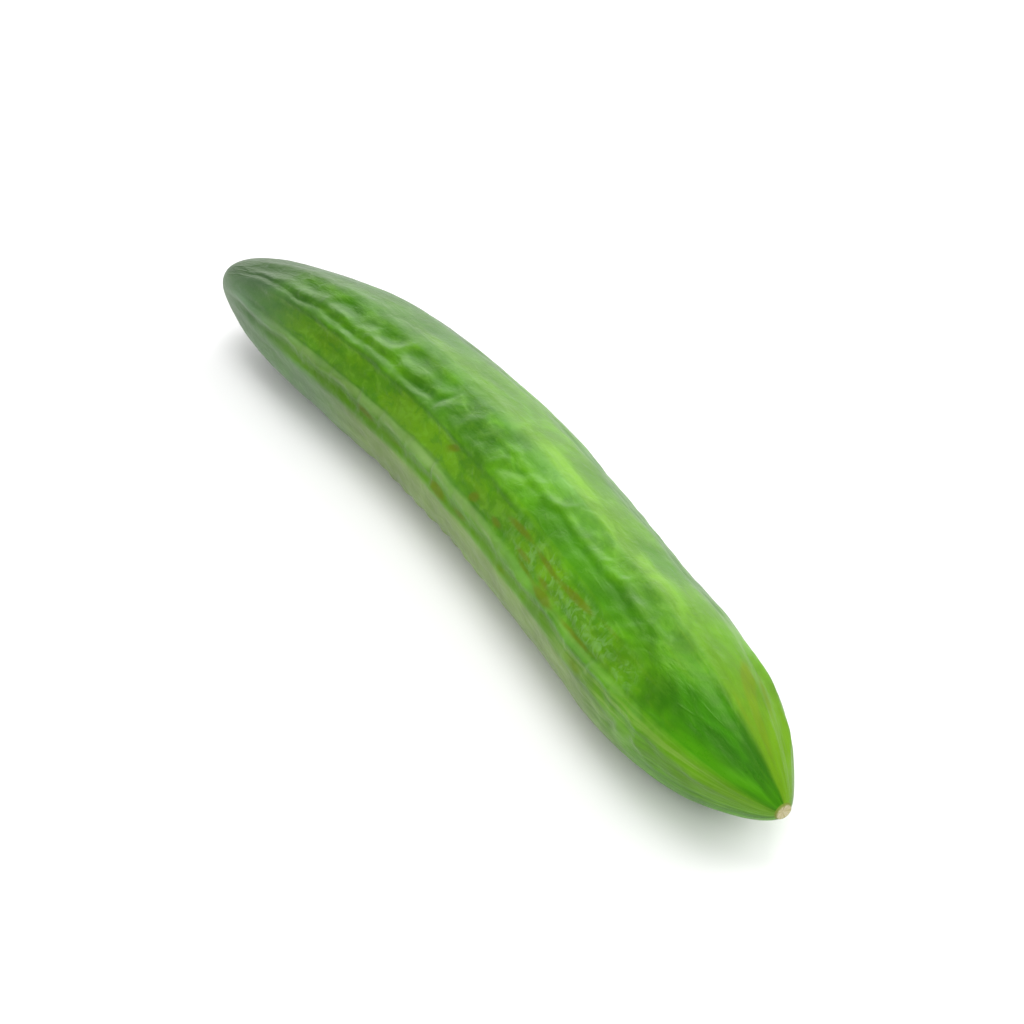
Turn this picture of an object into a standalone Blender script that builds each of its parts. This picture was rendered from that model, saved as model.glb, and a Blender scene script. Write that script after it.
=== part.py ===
"""A whole cucumber, lying on its belly and bent a little in the plane it lies in.

+X runs from the blossom end to the stem end, the bend bulges toward +Y, +Z is up. The origin is
under the middle of its bounding box, on the surface it rests on. Metres.

The fruit is one closed skin, swept along a curved axis. Along it, u runs from 0 at the blossom end
to 1 at the stem end. Round it, the angle a runs from the top toward -Y, in degrees.
"""

import math
import random

import bmesh
import bpy
import numpy as np

# ---- the body
LENGTH = 0.300  # straight distance from end to end
RADIUS = 0.0238  # half thickness at the middle
GROWTH = 0.021  # the stem half is thicker than the blossom half by this share
BEND_NEAR = 0.0351  # pull of the bend near the blossom end
BEND_FAR = 0.0076  # pull of the bend near the stem end
BEND_SNAKE = -0.0006  # and a slight S on top of it, three half waves long
SINK = 0.00045  # how far the belly is pressed flat where it rests

# ---- its two ends
BLOSSOM_REACH = 0.312  # share of the length over which the blossom end rounds off
BLOSSOM_CURVE = (2.18, 1.76)
STEM_REACH = 0.230  # share of the length over which the stem end narrows
STEM_CURVE = (2.17, 1.22)
SCAR_RADIUS = 0.0027  # cut stem
SCAR_STUB = 0.0007  # it stands this proud of the shoulder
SCAR_DISH = 0.0004  # and its face is hollow by this much
BLOSSOM_DIMPLE = 0.0011
DIMPLE_RADIUS = 0.0042

# ---- slow swellings of the body: waves per half length, share of the radius
SWELLS = ((1, 0.013), (2, 0.007), (3, -0.009), (4, 0.0025), (5, 0.007))

# ---- folds that run along the fruit. Ridges are above zero, grooves below.
# angle, height mm, half width in degrees, start, end, beads per length, bead depth, slant, spread
FOLDS = (
    (-66, -0.60, 5, 0.80, 1.03, 12, 0.4, 0.6, -2),
    (-55, 0.95, 5, 0.82, 1.03, 15, 0.35, 0.6, -2),
    (-44, -0.45, 5, 0.22, 1.03, 11, 0.5, 0.6, -2),
    (-34, 0.30, 3, 0.84, 1.03, 18, 0.4, 0.6, 0),
    (-11, 0.28, 3, 0.82, 1.03, 16, 0.4, 0.6, 2),
    (-22, -0.30, 8, 0.08, 0.95, 7, 0.6, 0.0, -2),
    (-1, 0.55, 5, 0.03, 1.03, 7, 0.3, 0.0, 0),
    (31, -0.85, 17, 0.84, 1.03, 5, 0.2, 0.3, 0),
    (63, 0.45, 4, 0.83, 1.03, 14, 0.4, 0.6, 0),
    (14, -0.50, 6, 0.03, 0.46, 13, 0.5, 0.3, 0),
    (6, -0.45, 5, 0.46, 0.90, 24, 0.6, 0.8, 0),
    (24.5, 0.38, 4.5, 0.03, 0.44, 13, 0.6, 0.0, 0),
    (14, 0.42, 3.5, 0.49, 0.87, 24, 0.5, 0.8, 0),
    (29, -0.45, 3, 0.03, 0.45, 11, 0.4, 0.4, 0),
    (36, 0.55, 6.5, 0.02, 0.64, 11, 0.4, 0.4, 0),
    (49, -0.60, 9, 0.03, 0.88, 6, 0.2, 0.0, 0),
    (61, -0.55, 3.5, 0.03, 0.86, 9, 0.3, 0.0, 4),
    (66, 1.05, 6, 0.02, 1.00, 17, 0.3, 1.0, 14),
    (74, -0.65, 4, 0.03, 0.86, 17, 0.3, 1.0, 12),
    (82, 0.35, 5, 0.03, 0.95, 14, 0.3, 1.2, 10),
    (95, -0.35, 6, 0.10, 0.90, 12, 0.3, 0.9, 6),
    (113, 1.00, 9, 0.02, 0.26, 6, 0.3, 0.0, 0),
    (122, 0.45, 7, 0.20, 0.88, 15, 0.4, -0.9, 4),
    (138, -0.75, 7, 0.12, 0.88, 10, 0.5, 0.6, 2),
    (154, 0.55, 7, 0.10, 1.00, 9, 0.3, 0.0, 0),
    (203, 0.55, 8, 0.10, 1.00, 8, 0.3, 0.0, 0),
    (219, -0.85, 6, 0.10, 0.90, 13, 0.6, 0.8, 0),
    (233, 1.05, 7, 0.07, 1.00, 16, 0.5, -1.1, -4),
    (249, -0.90, 6, 0.09, 0.90, 15, 0.5, -0.8, -4),
    (262, 1.00, 7, 0.08, 1.00, 13, 0.4, 0.9, -4),
    (277, -0.75, 6, 0.12, 0.86, 11, 0.6, 0.7, -6),
    (291, 0.75, 8, 0.08, 1.00, 9, 0.4, 0.6, -8),
    (40.5, -0.40, 3, 0.10, 0.86, 9, 0.4, 0.4, 0),
    (19.5, -0.35, 3, 0.49, 0.84, 15, 0.4, 0.3, 0),
    (300, -1.1, 22, 0.50, 0.80, 0, 0.0, 0.0, 0),
    (300, 1.0, 20, 0.85, 1.00, 0, 0.0, 0.0, 0),
)
FOLD_WANDER = 1.5  # degrees that a fold strays to either side
FOLD_FADE = 0.07  # share of the length over which a fold comes and goes

# ---- puckers that lie across the fruit: centre along, centre angle, reach along, reach in degrees,
# height mm, waves per length, lean (degrees of wave per degree round)
PUCKERS = (
    (0.50, 19, 0.070, 13, 0.12, 36, 13.0),
    (0.64, 25, 0.080, 8, 0.12, 30, 13.0),
    (0.81, 24, 0.055, 14, 0.15, 40, 11.0),
    (0.87, 48, 0.040, 14, 0.17, 44, -12.0),
    (0.72, 50, 0.085, 9, 0.14, 47, 17.0),
    (0.86, 80, 0.070, 20, 0.24, 30, -9.0),
    (0.30, 236, 0.120, 26, 0.41, 36, -6.0),
    (0.62, 262, 0.120, 24, 0.41, 34, 6.0),
    (0.45, 132, 0.130, 22, 0.38, 38, 5.0),
    (0.78, 210, 0.080, 20, 0.30, 40, -5.0),
)

# ---- single dents and welts: along, angle, half length mm, half width mm,
# heading in degrees from the fruit's length toward larger angles, height mm
CREASES = (
    # upper row of pockets, the welts between them and under them
    (0.150, 14.0, 7.0, 2.3, 10, -0.35),
    (0.232, 14.0, 9.0, 2.5, 0, -0.65),
    (0.306, 14.5, 5.5, 2.7, 0, -0.80),
    (0.350, 12.0, 5.0, 2.6, -20, -0.75),
    (0.405, 12.0, 6.0, 2.2, -8, -0.40),
    (0.198, 18.0, 2.8, 2.3, 120, 0.40),
    (0.281, 18.5, 2.8, 2.3, 97, 0.45),
    (0.332, 12.0, 3.0, 2.5, 92, 0.35),
    (0.327, 20.5, 2.4, 2.0, 128, 0.35),
    (0.378, 19.0, 5.0, 2.3, -28, 0.50),
    (0.165, 22.5, 5.0, 1.8, 22, 0.40),
    (0.229, 25.0, 4.5, 2.0, -4, 0.50),
    (0.267, 23.0, 2.5, 1.8, -10, 0.30),
    (0.306, 26.0, 4.0, 2.0, 6, 0.55),
    (0.352, 26.0, 2.6, 1.8, -12, 0.45),
    # lower row
    (0.150, 27.0, 6.0, 1.6, 8, -0.25),
    (0.216, 28.0, 4.5, 1.5, 6, -0.30),
    (0.262, 27.0, 5.0, 1.6, -9, -0.35),
    (0.318, 28.0, 5.0, 1.5, 3, -0.30),
    (0.389, 27.0, 7.5, 2.4, -3, -0.45),
    (0.240, 30.5, 2.4, 1.6, 75, 0.30),
    (0.285, 28.5, 2.6, 1.6, 100, 0.35),
    (0.347, 28.5, 2.6, 1.6, 105, 0.35),
    (0.216, 36.5, 4.5, 1.6, 10, 0.30),
    (0.255, 33.5, 4.0, 1.5, -14, 0.25),
    (0.307, 37.0, 5.0, 1.6, 3, 0.30),
    # slanting wrinkles past the middle
    (0.424, 26.0, 4.5, 1.6, 104, -0.50),
    (0.438, 28.0, 4.0, 2.6, 116, 0.30),
    (0.458, 13.0, 4.5, 2.0, 20, -0.35),
    (0.476, 19.0, 4.0, 2.2, 118, 0.25),
    (0.503, 24.0, 4.5, 1.8, -52, -0.35),
    (0.541, 26.0, 3.6, 1.8, -42, 0.45),
    (0.565, 22.0, 6.0, 1.9, -36, -0.30),
    # small cells of the upper row toward the stem
    (0.600, 12.0, 2.2, 1.3, 75, 0.30),
    (0.645, 8.0, 2.4, 1.2, 98, 0.30),
    (0.686, 10.0, 2.0, 1.2, 80, 0.25),
    (0.724, 9.0, 2.0, 1.2, 100, 0.25),
    (0.757, 10.5, 2.8, 1.2, 104, 0.45),
    (0.811, 9.0, 2.2, 1.2, 86, 0.25),
    (0.623, 16.5, 4.0, 1.5, -10, 0.40),
    (0.660, 15.5, 2.6, 1.4, 8, 0.25),
    (0.704, 15.5, 3.0, 1.4, -6, 0.30),
    (0.784, 16.0, 4.5, 1.4, 0, 0.35),
    # notches that part the roped ridge into strands, and the bridges beyond them
    (0.205, 65.0, 2.6, 1.2, 108, -0.26),
    (0.210, 74.0, 2.4, 1.3, 108, 0.21),
    (0.262, 65.0, 2.6, 1.2, 108, -0.30),
    (0.267, 74.0, 2.4, 1.3, 108, 0.24),
    (0.318, 65.0, 2.6, 1.2, 104, -0.49),
    (0.323, 74.0, 2.4, 1.3, 104, 0.39),
    (0.361, 65.0, 2.6, 1.2, 100, -0.41),
    (0.366, 74.0, 2.4, 1.3, 100, 0.33),
    (0.419, 65.0, 2.6, 1.2, 104, -0.34),
    (0.424, 74.0, 2.4, 1.3, 104, 0.27),
    (0.471, 65.0, 2.6, 1.2, 96, -0.75),
    (0.476, 74.0, 2.4, 1.3, 96, 0.60),
    (0.516, 65.0, 2.6, 1.2, 66, -0.22),
    (0.521, 74.0, 2.4, 1.3, 66, 0.18),
    (0.556, 65.0, 2.6, 1.2, 60, -0.38),
    (0.561, 74.0, 2.4, 1.3, 60, 0.30),
    (0.613, 65.0, 2.6, 1.2, 56, -0.45),
    (0.618, 74.0, 2.4, 1.3, 56, 0.36),
    (0.664, 65.0, 2.6, 1.2, 74, -0.38),
    (0.669, 74.0, 2.4, 1.3, 74, 0.30),
    (0.702, 65.0, 2.6, 1.2, 96, -0.34),
    (0.707, 74.0, 2.4, 1.3, 96, 0.27),
    (0.752, 65.0, 2.6, 1.2, 96, -0.38),
    (0.757, 74.0, 2.4, 1.3, 96, 0.30),
    (0.791, 65.0, 2.6, 1.2, 112, -0.52),
    (0.796, 74.0, 2.4, 1.3, 112, 0.42),
    (0.840, 84.0, 4.5, 1.4, 112, -0.50),
    (0.876, 84.0, 4.5, 1.3, 60, 0.45),
    # a broad dent in the back of the blossom end
    (0.125, -42.0, 28.0, 12.0, 0, -1.60),
    # two blisters and a scratch on the olive flank
    (0.312, 49.0, 1.6, 1.0, 0, 0.35),
    (0.346, 54.0, 1.8, 0.9, -50, 0.30),
    (0.485, 43.0, 3.0, 1.2, -20, -0.30),
)
# the whole pattern is warped by slow waves: degrees or share of the length, waves per length,
# waves round per turn, phase
WARP_ROUND = ((1.3, 9.3, 3, 0.4), (0.7, 19.0, -7, 1.7), (0.2, 33.0, 11, 4.1))
WARP_ALONG = ((0.0022, 7.4, 9, 2.2), (0.0013, 15.0, -17, 0.9))
CREASE_SOFTEN = 1.5  # mm
FOLD_SOFTEN = 3.0  # degrees
RUMPLE = 0.00022  # height of the slow unevenness of the whole skin
RUMPLE_WAVES = 9
BELLY_CALM = 0.65  # the skin is calmer by this share where it rests
SEED = 11

# ---- how finely the skin is drawn
COLUMNS = 76
BODY_RINGS = 64
BLOSSOM_RINGS = 6
BLOSSOM_CAP = 0.026
SHOULDER_RINGS = 3
SHOULDER_CAP = 0.016
SCAR_RINGS = ((0.98, 1.0), (0.80, 0.85), (0.50, 0.55))  # share of its radius, share of its height


def smooth(x):
    x = np.clip(x, 0.0, 1.0)
    return x * x * (3.0 - 2.0 * x)


def turn(a, centre):
    """Degrees from one angle round the fruit to another, the short way."""
    return (a - centre + 180.0) % 360.0 - 180.0


def axis(u):
    """Point on the curved axis, and the way it heads."""
    y = 3 * u * (1 - u) ** 2 * BEND_NEAR + 3 * u * u * (1 - u) * BEND_FAR
    dy = (3 * (1 - u) ** 2 - 6 * u * (1 - u)) * BEND_NEAR + (6 * u * (1 - u) - 3 * u * u) * BEND_FAR
    wave = 3 * math.pi
    y = y + BEND_SNAKE * np.sin(wave * u)
    dy = dy + BEND_SNAKE * wave * np.cos(wave * u)
    run = np.stack([np.full_like(u, LENGTH), dy, np.zeros_like(u)], -1)
    run /= np.linalg.norm(run, axis=-1, keepdims=True)
    point = np.stack([u * LENGTH, y, np.full_like(u, RADIUS - SINK)], -1)
    return point, run


def girth(u):
    """Radius of the plain body, without its skin's relief."""
    body = RADIUS * (1 + GROWTH * (2 * u - 1))
    p, q = BLOSSOM_CURVE
    blossom = (1 - np.clip(1 - u / BLOSSOM_REACH, 0, 1) ** p) ** (1 / q)
    p, q = STEM_CURVE
    least = SCAR_RADIUS / RADIUS
    stem = least + (1 - least) * (1 - np.clip(1 - (1 - u) / STEM_REACH, 0, 1) ** p) ** (1 / q)
    swell = 1 + sum(share * np.sin(n * math.pi * u) for n, share in SWELLS)
    return body * blossom * stem * swell


def fold(u, a, k, row):
    """One fold along the fruit. One too fine for the columns is drawn softer."""
    angle, height, width, start, end, beads, depth, slant, spread = row
    stray = FOLD_WANDER * np.sin(2 * math.pi * (1.3 * u + 0.37 * k))
    wide = math.hypot(width, FOLD_SOFTEN)
    away = turn(a, angle + stray + spread * smooth((u - 0.8) / 0.2)) / wide
    crest = np.exp(-away * away)
    window = smooth((u - start) / FOLD_FADE) * smooth((end - u) / FOLD_FADE)
    uneven = 0.3 * np.sin(2 * math.pi * (2.3 * u + 0.61 * k))
    bead = 0.5 - 0.5 * np.cos(2 * math.pi * (beads * u + uneven) + slant * away)
    return height * width / wide * crest * window * (1 - depth * bead)


def pucker(u, a, row):
    along, angle, reach, spread, height, waves, lean = row
    du = (u - along) / reach
    da = turn(a, angle) / spread
    window = np.exp(-du * du - da * da)
    return height * window * np.sin(2 * math.pi * waves * u + np.radians(lean * turn(a, angle)))


def crease(u, a, row):
    """One dent or welt. One too fine for the rings and columns is drawn softer."""
    along, angle, half_length, half_width, heading, height = row
    x = LENGTH * 1000 * (u - along)
    y = RADIUS * 1000 * np.radians(turn(a, angle))
    way = math.radians(heading)
    long, wide = math.hypot(half_length, CREASE_SOFTEN), math.hypot(half_width, CREASE_SOFTEN)
    p = (x * math.cos(way) + y * math.sin(way)) / long
    q = (y * math.cos(way) - x * math.sin(way)) / wide
    return height * half_length * half_width / (long * wide) * np.exp(-p * p - q * q)


def rumple(u, a):
    draw = random.Random(SEED)
    total = 0.0
    for _ in range(RUMPLE_WAVES):
        round_it, along_it = draw.randint(2, 5), draw.uniform(3, 9)
        phase = draw.uniform(0, 2 * math.pi)
        total = total + np.cos(round_it * np.radians(a) + 2 * math.pi * along_it * u + phase)
    return RUMPLE * total / math.sqrt(RUMPLE_WAVES)


def warp(u, a, waves):
    turned = 2 * math.pi * a / 360.0
    return sum(size * np.sin(2 * math.pi * along * u + round_it * turned + phase) for size, along, round_it, phase in waves)


def relief(u, a):
    """Height of the skin over the plain body."""
    plain_u, plain_a = u, a
    a = plain_a + warp(plain_u, plain_a, WARP_ROUND)
    u = plain_u + warp(plain_u, plain_a, WARP_ALONG)
    total = sum(fold(u, a, k, row) for k, row in enumerate(FOLDS))
    total = total + sum(pucker(u, a, row) for row in PUCKERS)
    total = total + sum(crease(u, a, row) for row in CREASES)
    u, a = plain_u, plain_a
    calm = 1 - BELLY_CALM * np.exp(-((turn(a, 180.0) / 28.0) ** 2))
    ends = smooth(u / 0.07) * smooth((1 - u) / 0.05)
    return (total * 0.001 + rumple(u, a)) * calm * ends


def stations():
    """Places along the axis of the skin's rings: closer together where the ends round off."""
    near = [BLOSSOM_CAP * (k / BLOSSOM_RINGS) ** 1.9 for k in range(1, BLOSSOM_RINGS + 1)]
    span = 1 - BLOSSOM_CAP - SHOULDER_CAP
    body = [BLOSSOM_CAP + span * k / BODY_RINGS for k in range(1, BODY_RINGS + 1)]
    far = [1 - SHOULDER_CAP * (k / SHOULDER_RINGS) ** 1.4 for k in range(SHOULDER_RINGS - 1, -1, -1)]
    return np.array(near + body + far)


def ring(centre, run, radius, angles):
    side = np.stack([-run[1], run[0], 0 * run[0]])
    a = np.radians(angles)[:, None]
    radius = np.broadcast_to(radius, angles.shape)[:, None]
    return centre + radius * (np.cos(a) * np.array([0.0, 0.0, 1.0]) - np.sin(a) * side)


def skin_points():
    """Rings of points from the blossom pole to the middle of the cut stem, and the two poles."""
    angles = np.arange(COLUMNS) * 360.0 / COLUMNS
    u = stations()
    centres, runs = axis(u)
    rings = []
    for k, where in enumerate(u):
        here = np.full_like(angles, where)
        radius = girth(here) + relief(here, angles)
        centre = centres[k] + runs[k] * BLOSSOM_DIMPLE * np.exp(-((radius.mean() / DIMPLE_RADIUS) ** 2))
        rings.append(ring(centre, runs[k], radius, angles))
    end, out = centres[-1], runs[-1]
    for share, height in SCAR_RINGS:
        lift = SCAR_STUB - SCAR_DISH * (1 - height)
        rings.append(ring(end + out * lift, out, SCAR_RADIUS * share, angles))
    first, heading = axis(np.array([0.0]))
    blossom_pole = first[0] + heading[0] * BLOSSOM_DIMPLE
    stem_pole = end + out * (SCAR_STUB - SCAR_DISH)
    return np.array(rings), blossom_pole, stem_pole


def build_cucumber():
    rings, blossom_pole, stem_pole = skin_points()
    points = np.concatenate([rings.reshape(-1, 3), [blossom_pole, stem_pole]])
    points[:, 2] = np.maximum(points[:, 2], 0.0)  # the belly rests flat
    low, high = points.min(0), points.max(0)
    points -= np.array([(low[0] + high[0]) / 2, (low[1] + high[1]) / 2, low[2]])

    bm = bmesh.new()
    verts = [bm.verts.new(p) for p in points]
    count = len(rings)
    for i in range(count - 1):
        for j in range(COLUMNS):
            k = (j + 1) % COLUMNS
            corners = (i * COLUMNS + j, i * COLUMNS + k, (i + 1) * COLUMNS + k, (i + 1) * COLUMNS + j)
            bm.faces.new([verts[c] for c in corners])
    last = (count - 1) * COLUMNS
    for j in range(COLUMNS):
        k = (j + 1) % COLUMNS
        bm.faces.new([verts[-2], verts[k], verts[j]])
        bm.faces.new([verts[-1], verts[last + j], verts[last + k]])
    bmesh.ops.triangulate(bm, faces=bm.faces[:])
    bmesh.ops.recalc_face_normals(bm, faces=bm.faces[:])
    mesh = bpy.data.meshes.new("cucumber")
    bm.to_mesh(mesh)
    bm.free()
    mesh.shade_smooth()
    mesh.set_sharp_from_angle(angle=math.radians(50))

    skin = bpy.data.materials.new("cucumber_skin")
    skin.use_nodes = True
    surface = skin.node_tree.nodes["Principled BSDF"]
    surface.inputs["Base Color"].default_value = (0.070, 0.225, 0.016, 1.0)
    surface.inputs["Roughness"].default_value = 0.38
    surface.inputs["Metallic"].default_value = 0.0
    mesh.materials.append(skin)
    cucumber = bpy.data.objects.new("cucumber", mesh)
    bpy.context.scene.collection.objects.link(cucumber)
    return cucumber


for old in list(bpy.data.objects):
    bpy.data.objects.remove(old, do_unlink=True)
build_cucumber()
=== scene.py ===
"""A whole cucumber on a pale floor.

The skin is one fine mesh swept by Geometry Nodes along the fruit's curved axis, in the form of the
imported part. Along the fruit, u runs from 0 at the blossom end to 1 at the stem end. Round it, the
angle a runs from the top toward -Y, in degrees. Metres.
"""

import inspect
import math
import random

import bpy
import numpy as np
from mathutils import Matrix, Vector


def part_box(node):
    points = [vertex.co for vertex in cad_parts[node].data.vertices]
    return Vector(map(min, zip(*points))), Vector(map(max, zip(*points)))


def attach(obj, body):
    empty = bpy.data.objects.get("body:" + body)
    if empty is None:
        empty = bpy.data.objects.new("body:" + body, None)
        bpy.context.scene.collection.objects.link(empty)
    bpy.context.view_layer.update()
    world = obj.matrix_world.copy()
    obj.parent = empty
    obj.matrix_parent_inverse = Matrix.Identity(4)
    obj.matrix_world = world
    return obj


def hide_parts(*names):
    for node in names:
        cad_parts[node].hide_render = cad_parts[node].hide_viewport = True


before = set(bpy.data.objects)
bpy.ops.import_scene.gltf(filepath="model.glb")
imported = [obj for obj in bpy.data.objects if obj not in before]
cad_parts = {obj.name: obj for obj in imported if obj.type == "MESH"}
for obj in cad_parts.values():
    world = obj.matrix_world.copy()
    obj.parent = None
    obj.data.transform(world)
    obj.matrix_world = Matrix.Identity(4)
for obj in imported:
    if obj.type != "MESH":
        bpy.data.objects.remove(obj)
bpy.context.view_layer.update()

# ---- form of the fruit, as in the part
LENGTH = 0.300  # straight distance from end to end
RADIUS = 0.0238  # half thickness at the middle
GROWTH = 0.021  # the stem half is thicker than the blossom half by this share
BEND_NEAR = 0.0351  # pull of the bend near the blossom end
BEND_FAR = 0.0076  # pull of the bend near the stem end
BEND_SNAKE = -0.0006  # and a slight S on top of it
SNAKE_HALF_WAVES = 3
SINK = 0.00045  # how far the belly is pressed flat where it rests
BLOSSOM_REACH = 0.312  # share of the length over which the blossom end rounds off
BLOSSOM_CURVE = (2.18, 1.76)
STEM_REACH = 0.230  # share of the length over which the stem end narrows
STEM_CURVE = (2.17, 1.22)
SCAR_RADIUS = 0.0027  # cut stem
SCAR_STUB = 0.0007  # it stands this proud of the shoulder
SCAR_DISH = 0.0004  # and its face is hollow by this much
SCAR_LIP = 0.12  # share of the face over which the rim rises
SCAR_HOLLOW = (0.1, 0.8)  # shares of the face between which it sinks
BLOSSOM_DIMPLE = 0.0011
DIMPLE_RADIUS = 0.0042
DIMPLE_FADE = (0.3, 0.5)  # the dimple is gone past here, so that the stem end has none
# slow swells of the girth: half waves over the length, share of the radius
SWELLS = ((1, 0.013), (2, 0.007), (3, -0.009), (4, 0.0025), (5, 0.007))

# ---- folds that run along the fruit. Ridges are above zero, grooves below.
# angle, height mm, half width in degrees, start, end, beads per length, bead depth, slant, spread
FOLDS = (
    (-66, -0.60, 5, 0.80, 1.03, 12, 0.4, 0.6, -2),
    (-55, 0.95, 5, 0.82, 1.03, 15, 0.35, 0.6, -2),
    (-44, -0.45, 5, 0.22, 1.03, 11, 0.5, 0.6, -2),
    (-34, 0.30, 3, 0.84, 1.03, 18, 0.4, 0.6, 0),
    (-11, 0.28, 3, 0.82, 1.03, 16, 0.4, 0.6, 2),
    (-22, -0.30, 8, 0.08, 0.95, 7, 0.6, 0.0, -2),
    (-1, 0.55, 5, 0.03, 1.03, 7, 0.3, 0.0, 0),
    (31, -0.85, 17, 0.84, 1.03, 5, 0.2, 0.3, 0),
    (63, 0.45, 4, 0.83, 1.03, 14, 0.4, 0.6, 0),
    (14, -0.50, 6, 0.03, 0.46, 13, 0.5, 0.3, 0),
    (6, -0.45, 5, 0.46, 0.90, 24, 0.6, 0.8, 0),
    (24.5, 0.38, 4.5, 0.03, 0.44, 13, 0.6, 0.0, 0),
    (14, 0.42, 3.5, 0.49, 0.87, 24, 0.5, 0.8, 0),
    (29, -0.45, 3, 0.03, 0.45, 11, 0.4, 0.4, 0),
    (36, 0.55, 6.5, 0.02, 0.64, 11, 0.4, 0.4, 0),
    (49, -0.60, 9, 0.03, 0.88, 6, 0.2, 0.0, 0),
    (61, -0.55, 3.5, 0.03, 0.86, 9, 0.3, 0.0, 4),
    (66, 1.05, 6, 0.02, 1.00, 17, 0.3, 1.0, 14),
    (74, -0.65, 4, 0.03, 0.86, 17, 0.3, 1.0, 12),
    (82, 0.35, 5, 0.03, 0.95, 14, 0.3, 1.2, 10),
    (95, -0.35, 6, 0.10, 0.90, 12, 0.3, 0.9, 6),
    (113, 1.00, 9, 0.02, 0.26, 6, 0.3, 0.0, 0),
    (122, 0.45, 7, 0.20, 0.88, 15, 0.4, -0.9, 4),
    (138, -0.75, 7, 0.12, 0.88, 10, 0.5, 0.6, 2),
    (154, 0.55, 7, 0.10, 1.00, 9, 0.3, 0.0, 0),
    (203, 0.55, 8, 0.10, 1.00, 8, 0.3, 0.0, 0),
    (219, -0.85, 6, 0.10, 0.90, 13, 0.6, 0.8, 0),
    (233, 1.05, 7, 0.07, 1.00, 16, 0.5, -1.1, -4),
    (249, -0.90, 6, 0.09, 0.90, 15, 0.5, -0.8, -4),
    (262, 1.00, 7, 0.08, 1.00, 13, 0.4, 0.9, -4),
    (277, -0.75, 6, 0.12, 0.86, 11, 0.6, 0.7, -6),
    (291, 0.75, 8, 0.08, 1.00, 9, 0.4, 0.6, -8),
    (40.5, -0.40, 3, 0.10, 0.86, 9, 0.4, 0.4, 0),
    (19.5, -0.35, 3, 0.49, 0.84, 15, 0.4, 0.3, 0),
    (300, -1.1, 22, 0.50, 0.80, 0, 0.0, 0.0, 0),
    (300, 1.0, 20, 0.85, 1.00, 0, 0.0, 0.0, 0),
)
FOLD_WANDER = 1.5  # degrees that a fold strays to either side
FOLD_WANDER_WAVES, FOLD_WANDER_SHIFT = 1.3, 0.37  # waves per length, and the next fold's shift
FOLD_SPREAD = (0.8, 1.0)  # where along the fruit a fold takes on its spread
FOLD_FADE = 0.07  # share of the length over which a fold comes and goes
BEAD_DRIFT, BEAD_DRIFT_WAVES, BEAD_DRIFT_SHIFT = 0.3, 2.3, 0.61  # the beads' spacing is uneven

# ---- puckers that lie across the fruit: centre along, centre angle, reach along, reach in degrees,
# height mm, waves per length, lean (degrees of wave per degree round)
PUCKERS = (
    (0.50, 19, 0.070, 13, 0.12, 36, 13.0),
    (0.64, 25, 0.080, 8, 0.12, 30, 13.0),
    (0.81, 24, 0.055, 14, 0.15, 40, 11.0),
    (0.87, 48, 0.040, 14, 0.17, 44, -12.0),
    (0.72, 50, 0.085, 9, 0.14, 47, 17.0),
    (0.86, 80, 0.070, 20, 0.24, 30, -9.0),
    (0.30, 236, 0.120, 26, 0.41, 36, -6.0),
    (0.62, 262, 0.120, 24, 0.41, 34, 6.0),
    (0.45, 132, 0.130, 22, 0.38, 38, 5.0),
    (0.78, 210, 0.080, 20, 0.30, 40, -5.0),
)

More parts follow.
